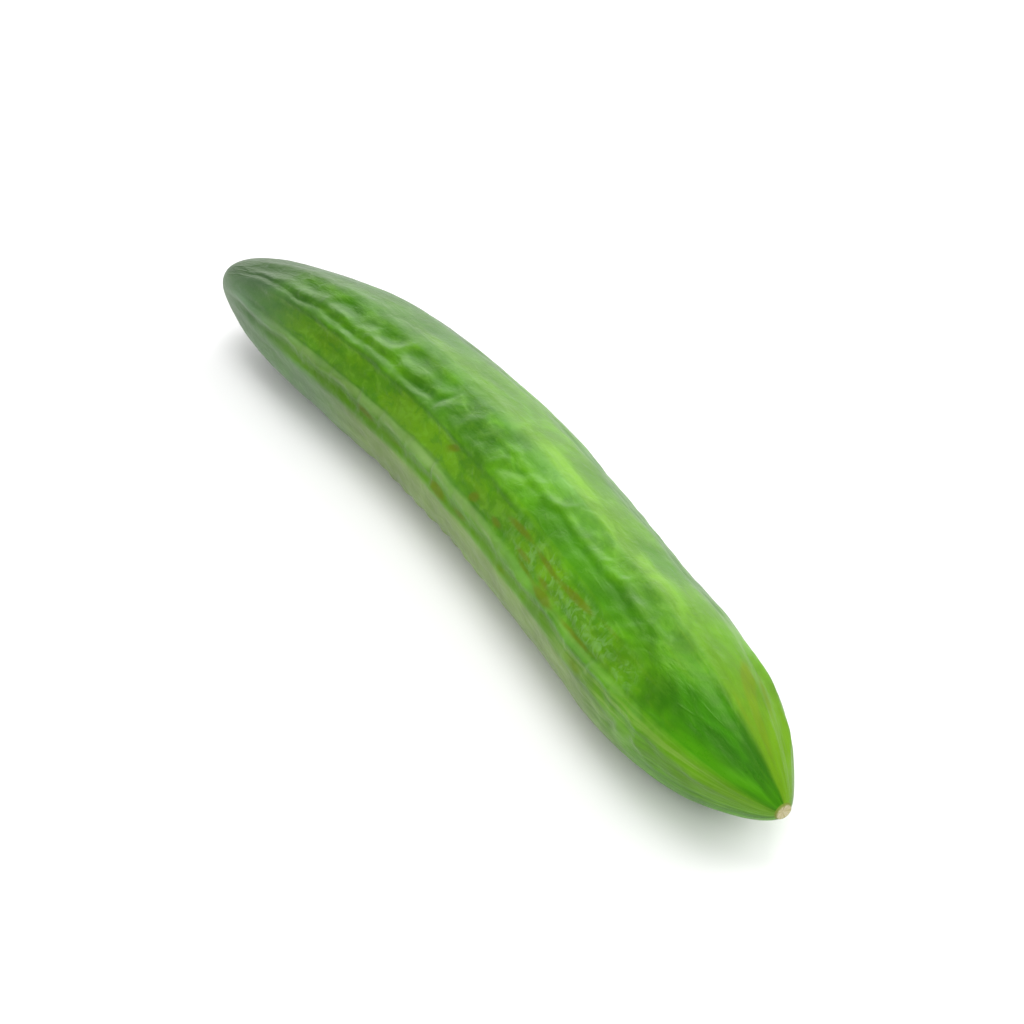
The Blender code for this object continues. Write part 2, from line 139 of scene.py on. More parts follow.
# ---- single dents and welts: along, angle, half length mm, half width mm,
# heading in degrees from the fruit's length toward larger angles, height mm
CREASES = (
    # upper row of pockets, the welts between them and under them
    (0.150, 14.0, 7.0, 2.3, 10, -0.35),
    (0.232, 14.0, 9.0, 2.5, 0, -0.65),
    (0.306, 14.5, 5.5, 2.7, 0, -0.80),
    (0.350, 12.0, 5.0, 2.6, -20, -0.75),
    (0.405, 12.0, 6.0, 2.2, -8, -0.40),
    (0.198, 18.0, 2.8, 2.3, 120, 0.40),
    (0.281, 18.5, 2.8, 2.3, 97, 0.45),
    (0.332, 12.0, 3.0, 2.5, 92, 0.35),
    (0.327, 20.5, 2.4, 2.0, 128, 0.35),
    (0.378, 19.0, 5.0, 2.3, -28, 0.50),
    (0.165, 22.5, 5.0, 1.8, 22, 0.40),
    (0.229, 25.0, 4.5, 2.0, -4, 0.50),
    (0.267, 23.0, 2.5, 1.8, -10, 0.30),
    (0.306, 26.0, 4.0, 2.0, 6, 0.55),
    (0.352, 26.0, 2.6, 1.8, -12, 0.45),
    # lower row
    (0.150, 27.0, 6.0, 1.6, 8, -0.25),
    (0.216, 28.0, 4.5, 1.5, 6, -0.30),
    (0.262, 27.0, 5.0, 1.6, -9, -0.35),
    (0.318, 28.0, 5.0, 1.5, 3, -0.30),
    (0.389, 27.0, 7.5, 2.4, -3, -0.45),
    (0.240, 30.5, 2.4, 1.6, 75, 0.30),
    (0.285, 28.5, 2.6, 1.6, 100, 0.35),
    (0.347, 28.5, 2.6, 1.6, 105, 0.35),
    (0.216, 36.5, 4.5, 1.6, 10, 0.30),
    (0.255, 33.5, 4.0, 1.5, -14, 0.25),
    (0.307, 37.0, 5.0, 1.6, 3, 0.30),
    # slanting wrinkles past the middle
    (0.424, 26.0, 4.5, 1.6, 104, -0.50),
    (0.438, 28.0, 4.0, 2.6, 116, 0.30),
    (0.458, 13.0, 4.5, 2.0, 20, -0.35),
    (0.476, 19.0, 4.0, 2.2, 118, 0.25),
    (0.503, 24.0, 4.5, 1.8, -52, -0.35),
    (0.541, 26.0, 3.6, 1.8, -42, 0.45),
    (0.565, 22.0, 6.0, 1.9, -36, -0.30),
    # small cells of the upper row toward the stem
    (0.600, 12.0, 2.2, 1.3, 75, 0.30),
    (0.645, 8.0, 2.4, 1.2, 98, 0.30),
    (0.686, 10.0, 2.0, 1.2, 80, 0.25),
    (0.724, 9.0, 2.0, 1.2, 100, 0.25),
    (0.757, 10.5, 2.8, 1.2, 104, 0.45),
    (0.811, 9.0, 2.2, 1.2, 86, 0.25),
    (0.623, 16.5, 4.0, 1.5, -10, 0.40),
    (0.660, 15.5, 2.6, 1.4, 8, 0.25),
    (0.704, 15.5, 3.0, 1.4, -6, 0.30),
    (0.784, 16.0, 4.5, 1.4, 0, 0.35),
    # a slanting dent and a slanting welt low on the stem half
    (0.840, 84.0, 4.5, 1.4, 112, -0.50),
    (0.876, 84.0, 4.5, 1.3, 60, 0.45),
    # a broad dent in the back of the blossom end
    (0.125, -42.0, 28.0, 12.0, 0, -1.60),
    # two blisters and a scratch on the olive flank
    (0.312, 49.0, 1.6, 1.0, 0, 0.35),
    (0.346, 54.0, 1.8, 0.9, -50, 0.30),
    (0.485, 43.0, 3.0, 1.2, -20, -0.30),
)
# ---- notches that part the roped ridge into strands: along, heading, depth mm. Beyond each of them
# a bridge of the same heading crosses the groove.
NOTCHES = (
    (0.205, 108, 0.26),
    (0.262, 108, 0.30),
    (0.318, 104, 0.49),
    (0.361, 100, 0.41),
    (0.419, 104, 0.34),
    (0.471, 96, 0.75),
    (0.516, 66, 0.22),
    (0.556, 60, 0.38),
    (0.613, 56, 0.45),
    (0.664, 74, 0.38),
    (0.702, 96, 0.34),
    (0.752, 96, 0.38),
    (0.791, 112, 0.52),
)
NOTCH_FORM = (65.0, 2.6, 1.2)  # angle, half length mm, half width mm
BRIDGE_FORM = (74.0, 2.4, 1.3)
BRIDGE_STEP = 0.005  # this much farther along than the notch
BRIDGE_SHARE = 0.8  # its height, of the notch's depth

# ---- the whole pattern is warped by slow waves: degrees or share of the length, waves per length,
# waves round per turn, phase
WARP_ROUND = ((1.3, 9.3, 3, 0.4), (0.7, 19.0, -7, 1.7), (0.2, 33.0, 11, 4.1))
WARP_ALONG = ((0.0022, 7.4, 9, 2.2), (0.0013, 15.0, -17, 0.9))

# ---- brown stains on the rind: along, angle, half length mm, half width mm, heading, strength
STAINS = (
    (0.625, 44.5, 8.0, 1.3, -4, 0.90),
    (0.680, 45.5, 6.0, 1.1, 3, 0.90),
    (0.735, 44.0, 9.0, 1.4, -6, 1.00),
    (0.590, 40.0, 6.0, 0.8, 0, 0.30),
    (0.547, 56.5, 2.6, 1.6, -25, 1.00),
    (0.592, 56.0, 3.5, 1.3, 0, 0.80),
    (0.648, 55.0, 5.0, 1.1, 0, 0.80),
    (0.690, 56.5, 4.0, 1.1, 5, 0.80),
    (0.700, 63.0, 4.5, 1.3, 0, 1.00),
    (0.660, 61.0, 8.0, 0.9, 4, 0.55),
    (0.760, 61.5, 12.0, 0.9, -2, 0.75),
    (0.800, 38.0, 7.0, 1.0, -4, 0.45),
    (0.483, 43.0, 2.6, 1.2, -20, 0.90),
    (0.475, 49.0, 4.0, 2.0, 10, 0.40),
    (0.365, 51.0, 5.0, 1.8, 5, 0.30),
    (0.230, 44.0, 7.0, 1.8, -3, 0.30),
    (0.336, 73.0, 6.0, 1.6, 2, 0.80),
    (0.400, 74.5, 8.0, 1.2, 0, 0.45),
    (0.490, 76.0, 5.5, 1.7, 8, 1.00),
    (0.537, 76.0, 5.0, 1.4, 0, 0.60),
    (0.632, 78.0, 8.0, 1.8, -4, 0.50),
    (0.775, 78.0, 6.0, 1.8, 6, 0.60),
    (0.900, -27.0, 7.0, 2.4, 22, 1.30),
    (0.942, -17.0, 8.0, 2.0, 10, 1.30),
    (0.915, -40.0, 9.0, 1.8, 12, 0.80),
    (0.925, -6.0, 8.0, 1.0, 4, 0.60),
)

# ---- slow unevenness, and where the skin is calmer
RUMPLE = 0.00022  # height of the slow unevenness of the whole skin
RUMPLE_WAVES = 9
BELLY_CALM = 0.65  # the skin is calmer by this share where it rests
BELLY_ROUND = 28.0  # and over about this many degrees to either side
ENDS_CALM = (0.07, 0.05)  # share of the length over which it is calmer, at the blossom and at the stem
SEED = 11  # of the slow unevenness

# ---- fine crinkle, which only this skin has
CRINKLE_HEIGHT = 0.0004
CRINKLE_GRAIN = ((0.6, 1.0, 1.0), 190.0, 3.0, 0.55, 0.6)

# ---- how the relief's lean toward the light is measured
LEAN_STEP = 2.5  # degrees to either side
LIGHT_ANGLE = -45.0  # degrees round from the top, where the light comes from

# ---- how finely the skin is swept
RINGS = 398
COLUMNS = 240
SCAR_SHARE = 0.03  # share of the rings that draw the cut stem's face
FACE_START = 0.001  # share of those rings by which the skin has turned onto the face
BLOSSOM_CAP, BLOSSOM_CROWDING = 0.03, 0.9  # rings stand closer toward the two ends
SHOULDER_CAP, SHOULDER_CROWDING = 0.02, 0.4
MERGE_DISTANCE = 4e-6

# ---- the rind's grains: stretch along, round and out, scale, detail, roughness, distortion
GRAINS = {
    "broad": ((0.22, 1.0, 1.0), 42.0, 3.0, 0.55, 0.0),
    "clouds": ((0.6, 1.0, 1.0), 78.0, 3.0, 0.55, 0.6),
    "patches": ((0.45, 1.0, 1.0), 120.0, 3.0, 0.55, 0.5),
    "wander": ((0.45, 1.0, 1.0), 130.0, 1.5, 0.5, 0.6),
    "mottle": ((1.0, 1.0, 1.0), 150.0, 4.0, 0.6, 0.4),
    "specks": ((0.7, 1.0, 1.0), 250.0, 3.0, 0.62, 0.6),
    "crinkled": ((1.0, 0.8, 0.8), 380.0, 2.0, 0.5, 1.2),
    "fine": ((0.5, 1.0, 1.0), 420.0, 4.0, 0.6, 0.5),
    "fibres": ((0.035, 1.0, 1.0), 620.0, 3.0, 0.55, 0.2),
    "pores": ((1.0, 1.0, 1.0), 900.0, 3.0, 0.6, 0.0),
}
RIND_IOR = 1.37
RIND_SHEEN_TINT = (0.88, 1.0, 0.50, 1.0)  # the wax mirrors a little green
BUMP_STRENGTH = 0.40
BUMP_DISTANCE = 0.0006

# ---- the view and the light
VIEW_TURN = 55.75  # degrees round from looking along +Y
VIEW_RAISE = 40.0
VIEW_DISTANCE = 0.7033
VIEW_TARGET = Vector((-0.0128, 0.0133, 0.0))
HALF_VIEW = math.radians(13.0)
SENSOR = 36.0
FLOOR_HALF = 4.0
ROOM_LIGHT = 0.38
PANEL_DISTANCE = 2.0
# name, degrees from straight ahead toward the right, degrees up, width, height, brightness,
# whether it lights the matt colour, whether it is mirrored
PANELS = (
    ("right panel", 60, 45, 1.8, 1.5, 2.7, True, False),
    ("top panel", 0, 88, 1.2, 1.2, 4.4, True, True),
    ("front panel", 180, 50, 2.0, 1.2, 3.0, True, False),
    ("low back panel", 0, 5.5, 3.0, 0.34, 2.0, False, True),
    ("back panel", 0, 20, 3.0, 1.0, 1.6, False, True),
    ("high back panel", 0, 40, 2.4, 1.2, 1.8, False, True),
)


def linear(*screen):
    """A colour given as it looks on a screen, 0 to 255, in the renderer's linear numbers."""
    shares = [value / 255 for value in screen]
    return tuple(c / 12.92 if c <= 0.04045 else ((c + 0.055) / 1.055) ** 2.4 for c in shares) + (1.0,)


class Wire:
    """One output of a node. Python's operators on it add Math nodes to its tree."""

    def __init__(self, graph, socket):
        self.graph = graph
        self.socket = socket

    def __add__(self, other):
        return self.graph.math("ADD", self, other)

    __radd__ = __add__

    def __sub__(self, other):
        return self.graph.math("SUBTRACT", self, other)

    def __rsub__(self, other):
        return self.graph.math("SUBTRACT", other, self)

    def __mul__(self, other):
        return self.graph.math("MULTIPLY", self, other)

    __rmul__ = __mul__

    def __truediv__(self, other):
        return self.graph.math("DIVIDE", self, other)

    def __rtruediv__(self, other):
        return self.graph.math("DIVIDE", other, self)

    def __pow__(self, other):
        return self.graph.math("POWER", self, other)

    def __mod__(self, other):
        return self.graph.math("FLOORED_MODULO", self, other)

    def __neg__(self):
        return self * -1.0

    def clip(self, low=0.0, high=1.0):
        return self.graph.math("MINIMUM", self.graph.math("MAXIMUM", self, low), high)

    def smooth(self):
        x = self.clip()
        return x * x * (3.0 - 2.0 * x)

    def rise(self, start, end):
        """0 below start, 1 above end, eased between them."""
        return ((self - start) / (end - start)).smooth()


class Graph:
    """Adds nodes to one tree, of geometry or of a material."""

    def __init__(self, tree):
        self.tree = tree
        self.count = 0

    def node(self, kind, settings=None, inputs=None):
        made = self.tree.nodes.new(kind)
        made.location = (180 * (self.count // 12), -160 * (self.count % 12))
        self.count += 1
        for name, value in (settings or {}).items():
            setattr(made, name, value)
        for name, value in (inputs or {}).items():
            self.put(made.inputs[name], value)
        return made

    def put(self, socket, value):
        if isinstance(value, Wire):
            value = value.socket
        if isinstance(value, bpy.types.NodeSocket):
            self.tree.links.new(value, socket)
        else:
            socket.default_value = value

    def wire(self, kind, settings=None, inputs=None, output=0):
        return Wire(self, self.node(kind, settings, inputs).outputs[output])

    def math(self, operation, *values):
        return self.wire("ShaderNodeMath", {"operation": operation}, dict(enumerate(values)))

    def sin(self, x):
        return self.math("SINE", x)

    def cos(self, x):
        return self.math("COSINE", x)

    def bell(self, x):
        """1 at zero, falling off smoothly to both sides."""
        return self.math("EXPONENT", -(x * x))

    def turn(self, a, centre):
        """Degrees from one angle round the fruit to another, the short way."""
        return (a - centre + 180.0) % 360.0 - 180.0

    def vector(self, operation, *values):
        return self.wire("ShaderNodeVectorMath", {"operation": operation}, dict(enumerate(values)))

    def scaled(self, vector, share):
        """A colour or vector times a number."""
        return self.wire("ShaderNodeVectorMath", {"operation": "SCALE"}, {0: vector, "Scale": share})

    def xyz(self, x, y, z):
        return self.wire("ShaderNodeCombineXYZ", None, {0: x, 1: y, 2: z})

    def split(self, vector):
        made = self.node("ShaderNodeSeparateXYZ", None, {0: vector})
        return [Wire(self, made.outputs[k]) for k in range(3)]

    def grain(self, place, stretch, scale, detail, roughness, distortion):
        """Noise over the skin, finer where a stretch is larger."""
        values = {"Vector": self.vector("MULTIPLY", place, stretch), "Scale": scale}
        values.update({"Detail": detail, "Roughness": roughness, "Distortion": distortion})
        return self.wire("ShaderNodeTexNoise", None, values)

    def use(self, tree, *values):
        """A group's result for these numbers."""
        return self.wire("GeometryNodeGroup", {"node_tree": tree}, dict(enumerate(values)))

    def mix(self, share, first, second):
        """A colour between two others."""
        made = self.node("ShaderNodeMix", {"data_type": "RGBA"})
        for k, value in ((0, share), (6, first), (7, second)):
            self.put(made.inputs[k], value)
        return Wire(self, made.outputs[2])


def fold(g, u, a, angle, height, width, start, end, beads, depth, slant, spread, number):
    """Height in mm of one fold that runs along the fruit, beaded along its length."""
    stray = FOLD_WANDER * g.sin(2 * math.pi * (FOLD_WANDER_WAVES * u + FOLD_WANDER_SHIFT * number))
    away = g.turn(a, angle + stray + spread * u.rise(*FOLD_SPREAD)) / width
    window = ((u - start) / FOLD_FADE).smooth() * ((end - u) / FOLD_FADE).smooth()
    drift = BEAD_DRIFT * g.sin(2 * math.pi * (BEAD_DRIFT_WAVES * u + BEAD_DRIFT_SHIFT * number))
    bead = 0.5 - 0.5 * g.cos(2 * math.pi * (beads * u + drift) + slant * away)
    return height * g.bell(away) * window * (1.0 - depth * bead)


def pucker(g, u, a, along, angle, reach, spread, height, waves, lean):
    """Height in mm of one patch of wrinkles that lie across the fruit."""
    du = (u - along) / reach
    round_it = g.turn(a, angle)
    da = round_it / spread
    window = g.math("EXPONENT", -(du * du + da * da))
    return height * window * g.sin(2 * math.pi * waves * u + math.radians(1) * lean * round_it)


def crease(g, u, a, along, angle, half_length, half_width, heading, height):
    """Height in mm of one dent or welt."""
    x = LENGTH * 1000 * (u - along)
    y = RADIUS * 1000 * math.radians(1) * g.turn(a, angle)
    way = math.radians(1) * heading
    p = (x * g.cos(way) + y * g.sin(way)) / half_length
    q = (y * g.cos(way) - x * g.sin(way)) / half_width
    return height * g.math("EXPONENT", -(p * p + q * q))


def swing(g, u, a, round_it, along_it, phase):
    """One slow wave over the whole skin."""
    return g.cos(math.radians(1) * round_it * a + 2 * math.pi * along_it * u + phase)


def formula(rule):
    """A node group that works out one number by a rule from named numbers."""
    names = list(inspect.signature(rule).parameters)[1:]
    tree = bpy.data.node_groups.new(rule.__name__, "GeometryNodeTree")
    for name in names:
        tree.interface.new_socket(name, in_out="INPUT", socket_type="NodeSocketFloat")
    tree.interface.new_socket("value", in_out="OUTPUT", socket_type="NodeSocketFloat")
    g = Graph(tree)
    given = g.node("NodeGroupInput")
    g.node("NodeGroupOutput", None, {"value": rule(g, *[Wire(g, given.outputs[n]) for n in names])})
    return tree


def roped_ridge():
    """The creases that part the roped ridge and bridge the groove beyond it."""
    for along, heading, depth in NOTCHES:
        yield (along, *NOTCH_FORM, heading, -depth)
        yield (along + BRIDGE_STEP, *BRIDGE_FORM, heading, round(BRIDGE_SHARE * depth, 2))


def relief_rule(g, u, a):
    """Folds, puckers and creases of the skin together, in mm, all a little warped."""

    def warp(waves):
        return sum(
            size * g.sin(2 * math.pi * along * u + (math.radians(1) * round_it) * a + phase)
            for size, along, round_it, phase in waves
        )

    u, a = u + warp(WARP_ALONG), a + warp(WARP_ROUND)
    one_fold, one_pucker, one_crease = formula(fold), formula(pucker), formula(crease)
    parts = [g.use(one_fold, u, a, *row, number) for number, row in enumerate(FOLDS)]
    parts += [g.use(one_pucker, u, a, *row) for row in PUCKERS]
    parts += [g.use(one_crease, u, a, *row) for row in (*CREASES, *roped_ridge())]
    return sum(parts[1:], parts[0])


def stain_rule(g, u, a):
    """How brown the rind is, of the stains' own strengths."""
    one_stain = formula(crease)
    parts = [g.use(one_stain, u, a, *row) for row in STAINS]
    return sum(parts[1:], parts[0])


def rumple_rule(g, u, a):
    """The slow unevenness under the folds."""
    one_swing = formula(swing)
    draw = random.Random(SEED)
    waves = []
    for _ in range(RUMPLE_WAVES):
        round_it, along_it = draw.randint(2, 5), draw.uniform(3, 9)
        waves.append((round_it, along_it, draw.uniform(0, 2 * math.pi)))
    slow = [g.use(one_swing, u, a, *row) for row in waves]
    return RUMPLE / math.sqrt(RUMPLE_WAVES) * sum(slow[1:], slow[0])


def girth(g, u):
    """Radius of the plain body, without its skin's relief."""
    p, q = BLOSSOM_CURVE
    blossom = (1.0 - (1.0 - u / BLOSSOM_REACH).clip() ** p).clip() ** (1 / q)
    p, q = STEM_CURVE
    least = SCAR_RADIUS / RADIUS
    stem = least + (1 - least) * (1.0 - (1.0 - (1.0 - u) / STEM_REACH).clip() ** p).clip() ** (1 / q)
    swell = 1.0 + sum(share * g.sin(n * math.pi * u) for n, share in SWELLS)
    return RADIUS * (1.0 - GROWTH + 2 * GROWTH * u) * blossom * stem * swell


def curved_axis(g, u):
    """The axis's place across the fruit's length, and its direction along and across."""
    v = 1.0 - u
    wave = SNAKE_HALF_WAVES * math.pi
    y = 3 * BEND_NEAR * u * v * v + 3 * BEND_FAR * u * u * v + BEND_SNAKE * g.sin(wave * u)
    dy = BEND_NEAR * (3.0 * v * v - 6.0 * u * v) + BEND_FAR * (6.0 * u * v - 3.0 * u * u)
    dy = dy + BEND_SNAKE * wave * g.cos(wave * u)
    slope = dy / LENGTH
    size = g.math("SQRT", slope * slope + 1.0)
    return y, 1.0 / size, slope / size


def end_push(g, u, radius, scar):
    """How far the skin is pushed along the axis: in at the blossom's dimple, out at the cut stem."""
    dimple = BLOSSOM_DIMPLE * g.bell(radius / DIMPLE_RADIUS) * (1.0 - u.rise(*DIMPLE_FADE))
    stub = SCAR_STUB * (scar / SCAR_LIP).clip() - SCAR_DISH * scar.rise(*SCAR_HOLLOW)
    return dimple + stub * scar.rise(0.0, FACE_START)


def sweep_tree():
    """The geometry tree that sweeps the skin along the curved axis."""
    tree = bpy.data.node_groups.new("cucumber sweep", "GeometryNodeTree")
    for name, kind in (
        ("Rings", "Int"),
        ("Columns", "Int"),
        ("Fold height", "Float"),
        ("Crinkle height", "Float"),
        ("Skin", "Material"),
    ):
        tree.interface.new_socket(name, in_out="INPUT", socket_type="NodeSocket" + kind)
    tree.interface.new_socket("Geometry", in_out="OUTPUT", socket_type="NodeSocketGeometry")
    g = Graph(tree)
    given = {s.name: s for s in g.node("NodeGroupInput").outputs}
    fold_height, crinkle_height = Wire(g, given["Fold height"]), Wire(g, given["Crinkle height"])

    grid = g.node(
        "GeometryNodeMeshGrid",
        None,
        {"Size X": 1.0, "Size Y": 1.0, "Vertices X": given["Rings"], "Vertices Y": given["Columns"]},
    )
    flat = g.split(g.wire("GeometryNodeInputPosition"))
    t = (flat[0] + 0.5).clip()
    a = (0.5 - flat[1]).clip() * 360.0
    body = (t / (1 - SCAR_SHARE)).clip()
    scar = ((t - (1 - SCAR_SHARE)) / SCAR_SHARE).clip()
    u = body * (body / BLOSSOM_CAP).clip() ** BLOSSOM_CROWDING
    left = 1.0 - u
    u = 1.0 - left * (left / SHOULDER_CAP).clip() ** SHOULDER_CROWDING

    # relief of the skin
    relief, slow = formula(relief_rule), rumple_rule(g, u, a)
    shape = g.use(relief, u, a)
    # how much the relief leans toward the light
    lean = g.use(relief, u, a + LEAN_STEP) - g.use(relief, u, a - LEAN_STEP)
    lean = lean * g.sin(math.radians(1) * (a - LIGHT_ANGLE))
    radians = math.radians(1) * a
    straight = g.xyz(LENGTH * u, -RADIUS * g.sin(radians), RADIUS * g.cos(radians))
    crinkle = g.grain(straight, *CRINKLE_GRAIN) - 0.5
    calm = 1.0 - BELLY_CALM * g.bell(g.turn(a, 180.0) / BELLY_ROUND)
    ends = (u / ENDS_CALM[0]).smooth() * ((1.0 - u) / ENDS_CALM[1]).smooth()
    height = (0.001 * fold_height * shape + slow + crinkle_height * crinkle) * calm * ends
    # past the shoulder the rings close over the cut stem's face
    on_face = scar.rise(0.0, FACE_START)
    radius = (girth(g, u) + height) * (1.0 - on_face) + SCAR_RADIUS * (1.0 - scar) * on_face

    # onto the curved axis
    y, run_x, run_y = curved_axis(g, u)
    forward = end_push(g, u, radius, scar)
    across = radius * g.sin(radians)
    x = LENGTH * u + run_x * forward + run_y * across
    y = y + run_y * forward - run_x * across
    z = RADIUS - SINK + radius * g.cos(radians)
    place = g.xyz(x, y, g.math("MAXIMUM", z, 0.0))

    # what the rind's colours are worked out from
    skin = grid.outputs["Mesh"]
    stored = (
        ("straight", "FLOAT_VECTOR", straight),
        ("relief", "FLOAT", height * 1000.0),
        ("lean", "FLOAT", lean * ends),
        ("stain", "FLOAT", g.use(formula(stain_rule), u, a)),
        ("scar", "FLOAT", scar),
    )
    for name, kind, value in stored:
        keep = {"data_type": kind, "domain": "POINT"}
        values = {"Geometry": skin, "Name": name, "Value": value}
        skin = g.wire("GeometryNodeStoreNamedAttribute", keep, values)
    for kind, values in (
        ("SetPosition", {"Position": place}),
        ("MergeByDistance", {"Distance": MERGE_DISTANCE}),
        ("SetShadeSmooth", {"Shade Smooth": True}),
        ("RealizeInstances", {}),
        ("SetMaterial", {"Material": given["Skin"]}),
    ):
        skin = g.wire("GeometryNode" + kind, None, {"Geometry": skin, **values})
    g.node("NodeGroupOutput", None, {"Geometry": skin})
    return tree


def grown(tree, name, values):
    """The tree's result as a plain mesh object."""
    seed = bpy.data.objects.new(name + " seed", bpy.data.meshes.new(name + " seed"))
    bpy.context.scene.collection.objects.link(seed)
    modifier = seed.modifiers.new("sweep", "NODES")
    modifier.node_group = tree
    sockets = {s.name: s.identifier for s in tree.interface.items_tree if s.in_out == "INPUT"}
    for title, value in values.items():
        modifier[sockets[title]] = value
    depsgraph = bpy.context.evaluated_depsgraph_get()
    mesh = bpy.data.meshes.new_from_object(seed.evaluated_get(depsgraph), depsgraph=depsgraph)
    bpy.data.objects.remove(seed)
    mesh.name = name
    piece = bpy.data.objects.new(name, mesh)
    bpy.context.scene.collection.objects.link(piece)
    return piece


def set_in_frame(piece, node):
    """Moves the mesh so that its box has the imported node's middle and bottom."""
    low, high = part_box(node)
    mesh = piece.data
    flat = np.zeros(len(mesh.vertices) * 3, np.float32)
    mesh.vertices.foreach_get("co", flat)
    points = flat.reshape(-1, 3)
    mine_low, mine_high = points.min(0), points.max(0)
    move = (np.array(low) + np.array(high) - mine_low - mine_high) / 2
    move[2] = low[2] - mine_low[2]
    points += move.astype(np.float32)
    mesh.vertices.foreach_set("co", points.ravel())
    mesh.update()


# ---- colours of the rind, from the ground up
GROUND_DARK, GROUND_LIGHT = linear(50, 106, 4), linear(78, 138, 6)
CLOUD_DARK, CLOUD_LIGHT = linear(40, 96, 5), linear(90, 154, 8)
MOTTLE_DARK, MOTTLE_LIGHT = linear(42, 98, 6), linear(92, 152, 10)
FIBRE_DARK, FIBRE_LIGHT = linear(40, 98, 5), linear(106, 150, 16)
WRINKLE_PALE = linear(118, 168, 72)
TOP_BLOSSOM, TOP_STEM = linear(66, 110, 42), linear(92, 142, 18)
# painted sheen for the welts that lean to the light, and painted shade for the grooves
WELT_MILKY, GROOVE_DEEP = linear(108, 152, 84), linear(42, 102, 6)
# painted sheen along the shoulder's crest and along the second row's rim
BORDER_HAZE, RIM_PALE = linear(116, 160, 96), linear(110, 154, 84)
# the hollow's own olive, and a painted shade for its dark edges
HOLLOW_DARK, HOLLOW_LIGHT, HOLLOW_EDGE = linear(76, 130, 4), linear(92, 140, 4), linear(44, 100, 5)
SPECK_DARK, SPECK_LIGHT = linear(50, 112, 8), linear(112, 166, 44)
# a painted highlight for the roped ridge's crest, and the ridge's own olive
ROPE_PALE, ROPE_OLIVE = linear(120, 148, 84), linear(78, 128, 0)
FRONT_DEEP, STRIPE_PALE = linear(54, 120, 2), linear(122, 172, 44)
STAIN_FLANK, STAIN_STEM = linear(90, 112, 0), linear(108, 126, 0)
CRINKLE_PALE = linear(124, 170, 100)
STEM_TOP, STEM_SIDE = linear(96, 138, 4), linear(84, 124, 20)
FACET_DARK, FACET_LIGHT = linear(34, 102, 0), linear(50, 124, 1)
# painted reflection of the pale floor on the lower flank
BELLY_BLOSSOM, BELLY_STEM = linear(106, 136, 98), linear(120, 142, 78)
STREAK_DARK, STREAK_LIGHT = linear(60, 104, 14), linear(124, 156, 70)
# painted sheen on the blossom end, painted light from the floor on its side, painted shade in its grooves
TIP_TOP, TIP_SIDE, TIP_GROOVE = linear(46, 74, 42), linear(106, 132, 104), linear(38, 76, 26)
BLOSSOM_SCAR = linear(150, 138, 104)
CORK_DARK, CORK_LIGHT = linear(188, 180, 132), linear(214, 206, 172)
CORK_PORE, CORK_RING = linear(138, 126, 84), linear(112, 128, 50)


class Rind:
    """Where a point of the skin lies, and the zones that its colour, gloss and bumps share.

    It holds each of GRAINS, and each attribute that the sweep stored, under its own name.
    """

    def __init__(self, g):
        self.g = g
        straight = g.wire("ShaderNodeAttribute", {"attribute_name": "straight"}, None, 1)
        for name in ("relief", "lean", "stain", "scar"):
            setattr(self, name, g.wire("ShaderNodeAttribute", {"attribute_name": name}, None, 2))
        x, y, z = g.split(straight)
        self.u = x / LENGTH
        self.a = g.math("ARCTAN2", -y, z) * (180 / math.pi)
        for name, row in GRAINS.items():
            setattr(self, name, g.grain(straight, *row))
        # ragged edges of the zones, in degrees
        self.stray = 7.0 * (self.patches - 0.5) + 9.0 * (self.fibres - 0.5)

        self.on_scar = self.scar.rise(0.0, 0.03)
        self.hollow = self.stretch(0.10, 0.82, 0.06) * self.band(50.0, 11.5, 2.5, 0.25)
        self.facet = self.u.rise(0.82, 0.93) * self.band(32.0, 29.0, 5.0, 0.7)
        self.brown = (self.stain + 0.5 * (self.mottle - 0.5)).rise(0.22, 0.75) * self.stain.rise(0.0, 0.15)
        # how plainly the fibres show: more toward the stem
        self.plain = 0.35 + 0.65 * self.u.rise(0.72, 0.95)
        # thin pale wrinkles that wander along the skin
        near = 1.0 - g.math("ABSOLUTE", self.wander - 0.5).rise(0.0, 0.085)
        self.wrinkles = near * self.mottle.rise(0.36, 0.60) * (1.0 - 0.8 * self.u.rise(0.86, 0.95))
        # pale crinkles about the stains
        spot = self.crinkled.rise(0.42, 0.62) * self.stretch(0.61, 0.85, 0.03) * self.band(48.0, 10.0, 5.0)
        self.crinkles = spot * self.mottle.rise(0.34, 0.60) * (1.0 - 0.7 * self.brown)

    def stretch(self, low, high, ease):
        """1 between two places along the fruit."""
        return self.u.rise(low - ease, low + ease) * (1.0 - self.u.rise(high - ease, high + ease))

    def band(self, centre, reach, ease, ragged=0.0):
        """1 within some degrees of an angle, with an edge as ragged as the grains by a share."""
        off = self.g.turn(self.a, centre)
        if ragged:
            off = off + ragged * self.stray
        return 1.0 - self.g.math("ABSOLUTE", off).rise(reach - ease, reach + ease)


def ground_colour(g, rind):
    """Green that varies in broad fields, clouds, mottles, fibres and wrinkles."""
    clouds, mottle, fibres = rind.clouds, rind.mottle, rind.fibres
    green = g.mix(rind.broad.rise(0.35, 0.65), GROUND_DARK, GROUND_LIGHT)
    green = g.mix(0.55 * clouds.rise(0.46, 0.70), green, CLOUD_LIGHT)
    green = g.mix(0.45 * (1.0 - clouds.rise(0.30, 0.48)), green, CLOUD_DARK)
    green = g.mix(0.20 * mottle.rise(0.42, 0.68), green, MOTTLE_LIGHT)
    green = g.mix(0.25 * (1.0 - mottle.rise(0.30, 0.46)), green, MOTTLE_DARK)
    green = g.mix(0.30 * rind.plain * fibres.rise(0.52, 0.70), green, FIBRE_LIGHT)
    green = g.mix(0.30 * rind.plain * (1.0 - fibres.rise(0.30, 0.48)), green, FIBRE_DARK)
    return g.mix(0.20 * rind.wrinkles, green, WRINKLE_PALE)


